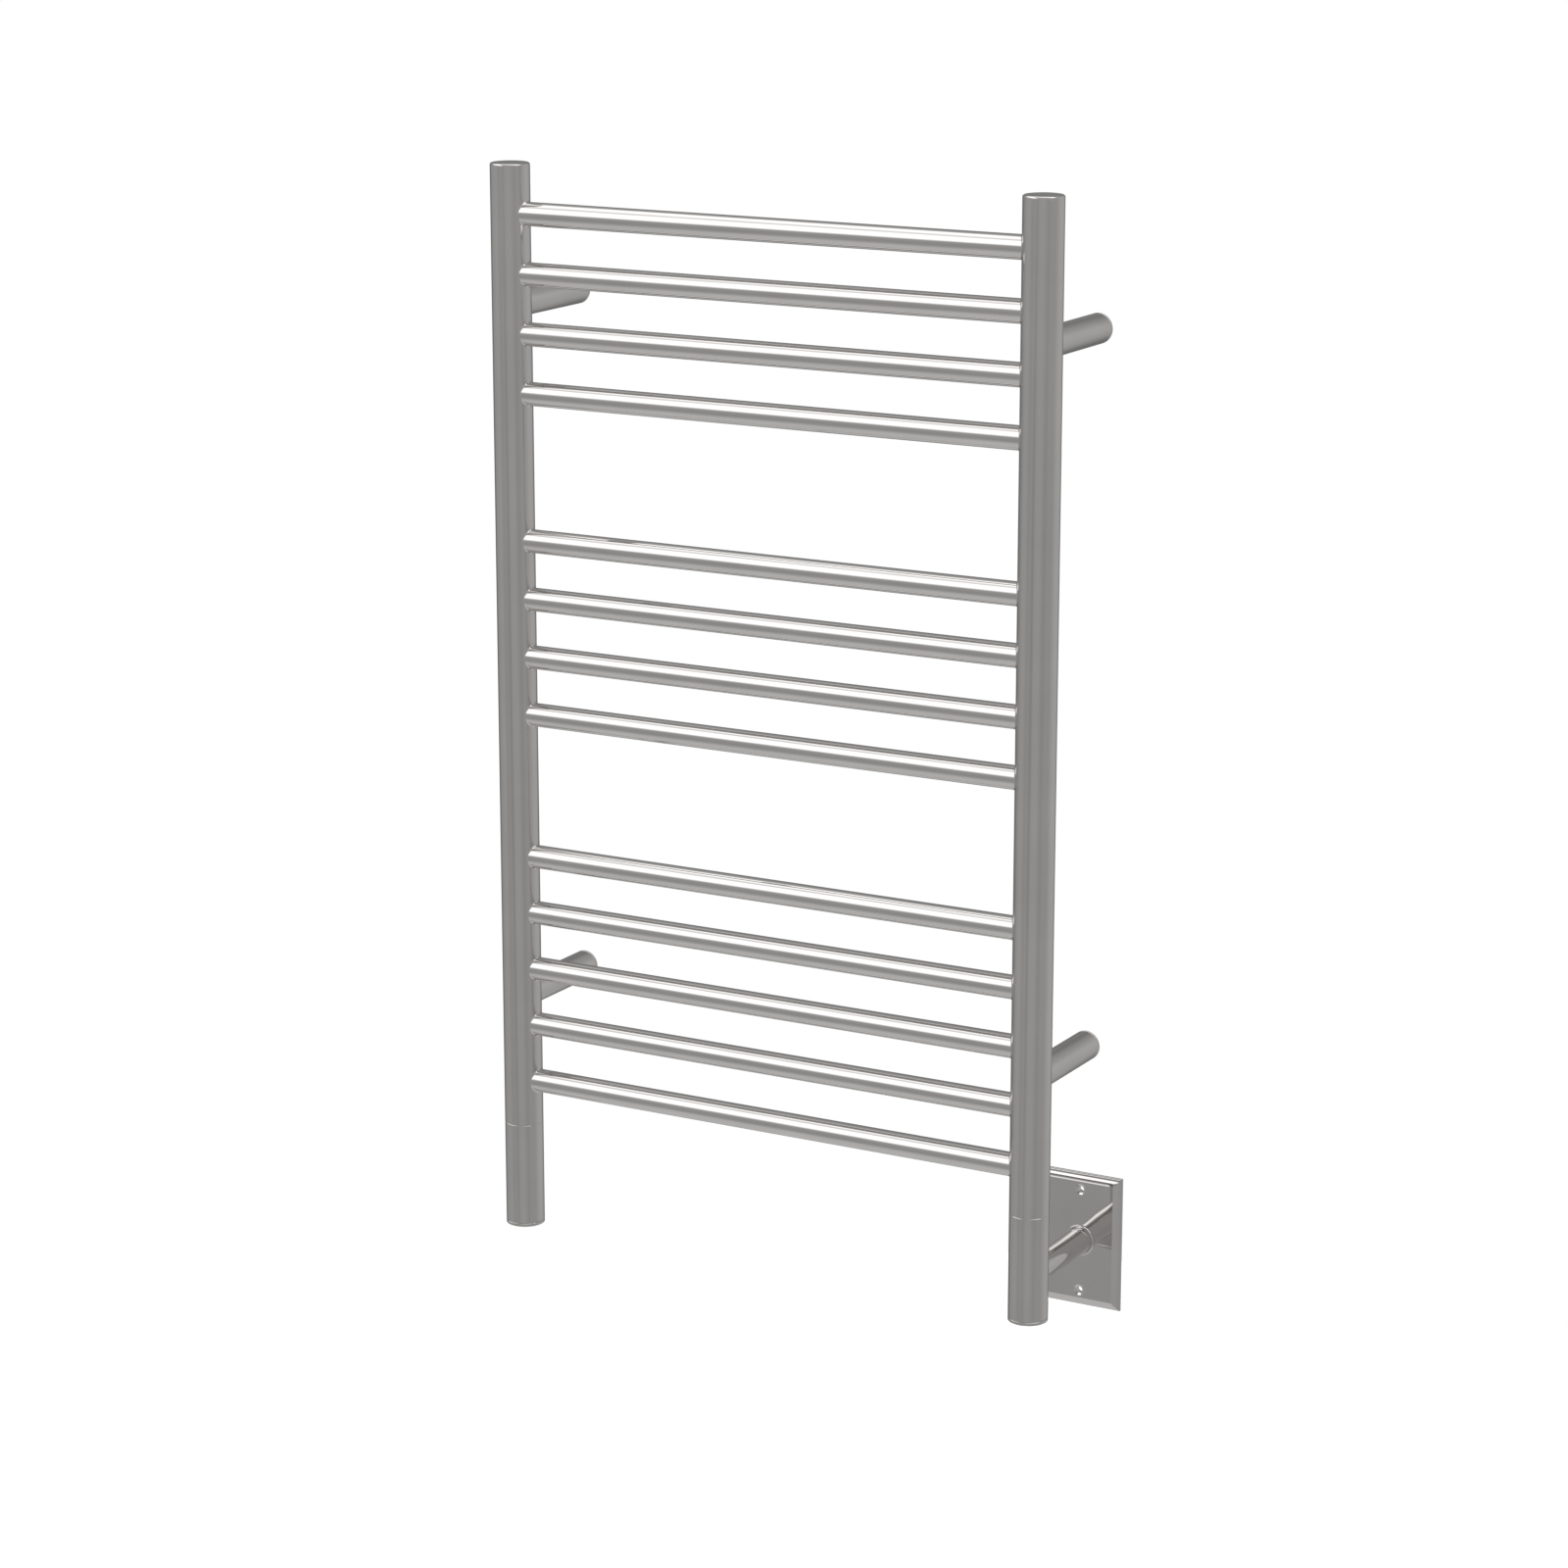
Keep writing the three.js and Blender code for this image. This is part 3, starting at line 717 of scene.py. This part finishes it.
# Brightness by height in degrees, and of each panel by degrees from the front over the top.
BY_HEIGHT = [
    (-90, 0.605), (-50, 0.605), (-45, 0.585), (-39, 0.515), (-32, 0.435), (-28, 0.39), (-24, 0.375),
    (-10, 0.375), (-5, 0.397), (2, 0.41), (8, 0.44), (90, 0.44),
]
PANEL_PEAK = 1.15
FRONT_PANEL = [
    (0, 0.0), (6, 0.05), (10, 0.13), (14, 0.36), (19, 0.8), (24, 1.0),
    (57, 1.0), (62, 0.6), (65, 0.5), (71, 0.0),
]
ZENITH_PANEL = [
    (65, 0.0), (71, 0.5), (76, 0.65), (82, 1.0), (104, 1.0),
    (108, 0.55), (112, 0.28), (117, 0.05), (122, 0.0),
]
FRONT_SIDES = (-3.0, -0.5)
ZENITH_SIDES = (-1.6, 1.4)
LEFT_SOFTNESS = 0.6
RIGHT_SOFTNESS = 0.15
HORIZON_SOFTNESS = 0.02
LEAST_HEIGHT = 0.001

# Round patches: heading, height, degrees at full strength, degrees at nothing, brightness added.
SPOTS = [
    (124, -5, 26, 55, -0.2),
    (85, 35, 10, 38, -0.055),
    (50, -8, 8, 48, 0.095),
    (-99, -13, 1, 12, -0.055),
    (-126, -13, 4, 20, -0.015),
    (-34, -13, 3, 16, -0.03),
    (-150, -13, 6, 24, 0.03),
    (-70, -13, 8, 24, 0.03),
]


def add_world():
    """A soft studio: two white panels overhead, mid-grey all round, darker behind, a lighter floor, and
    white where the camera looks past the object."""
    world = bpy.data.worlds.new("studio")
    bpy.context.scene.world = world
    world.use_nodes = True
    sky = Sky(world)
    height = sky.math("DEGREES", sky.math("ARCSINE", sky.z))
    turn = sky.math("DEGREES", sky.math("ARCTAN2", sky.z, sky.math("MULTIPLY", sky.y, -1.0)))
    sideways = sky.math("DIVIDE", sky.x, sky.math("MAXIMUM", sky.z, LEAST_HEIGHT))
    level = sky.curve(height, -90, 90, BY_HEIGHT)
    for curve, (left, right) in ((FRONT_PANEL, FRONT_SIDES), (ZENITH_PANEL, ZENITH_SIDES)):
        panel = sky.math("MULTIPLY", sky.curve(turn, 0, 180, curve), PANEL_PEAK)
        panel = sky.math("MULTIPLY", panel, sky.fade(sideways, left - LEFT_SOFTNESS, left))
        panel = sky.math("MULTIPLY", panel, sky.fade(sideways, right, right - RIGHT_SOFTNESS))
        panel = sky.math("MULTIPLY", panel, sky.fade(sky.z, 0.0, HORIZON_SOFTNESS))
        level = sky.math("ADD", level, panel)
    for spot in SPOTS:
        level = sky.math("ADD", level, sky.spot(*spot))

    studio = sky.nodes.new("ShaderNodeBackground")
    sky.links.new(level, studio.inputs["Color"])
    white = sky.nodes.new("ShaderNodeBackground")
    white.inputs["Color"].default_value = WHITE
    seen = sky.nodes.new("ShaderNodeLightPath").outputs["Is Camera Ray"]
    mix = sky.nodes.new("ShaderNodeMixShader")
    sky.links.new(seen, mix.inputs["Fac"])
    sky.links.new(studio.outputs["Background"], mix.inputs[1])
    sky.links.new(white.outputs["Background"], mix.inputs[2])
    output = sky.nodes.new("ShaderNodeOutputWorld")
    sky.links.new(mix.outputs["Shader"], output.inputs["Surface"])


def add_camera():
    data = bpy.data.cameras.new("camera")
    data.lens = CAMERA_LENS
    data.sensor_width = SENSOR_WIDTH
    camera = bpy.data.objects.new("camera", data)
    camera.location = CAMERA_PLACE
    camera.rotation_euler = (math.radians(90 - CAMERA_DIP), 0, math.radians(CAMERA_HEADING))
    bpy.context.scene.collection.objects.link(camera)
    bpy.context.scene.camera = camera


add_floor()
add_world()
add_camera()
bpy.context.scene.view_settings.view_transform = "Standard"
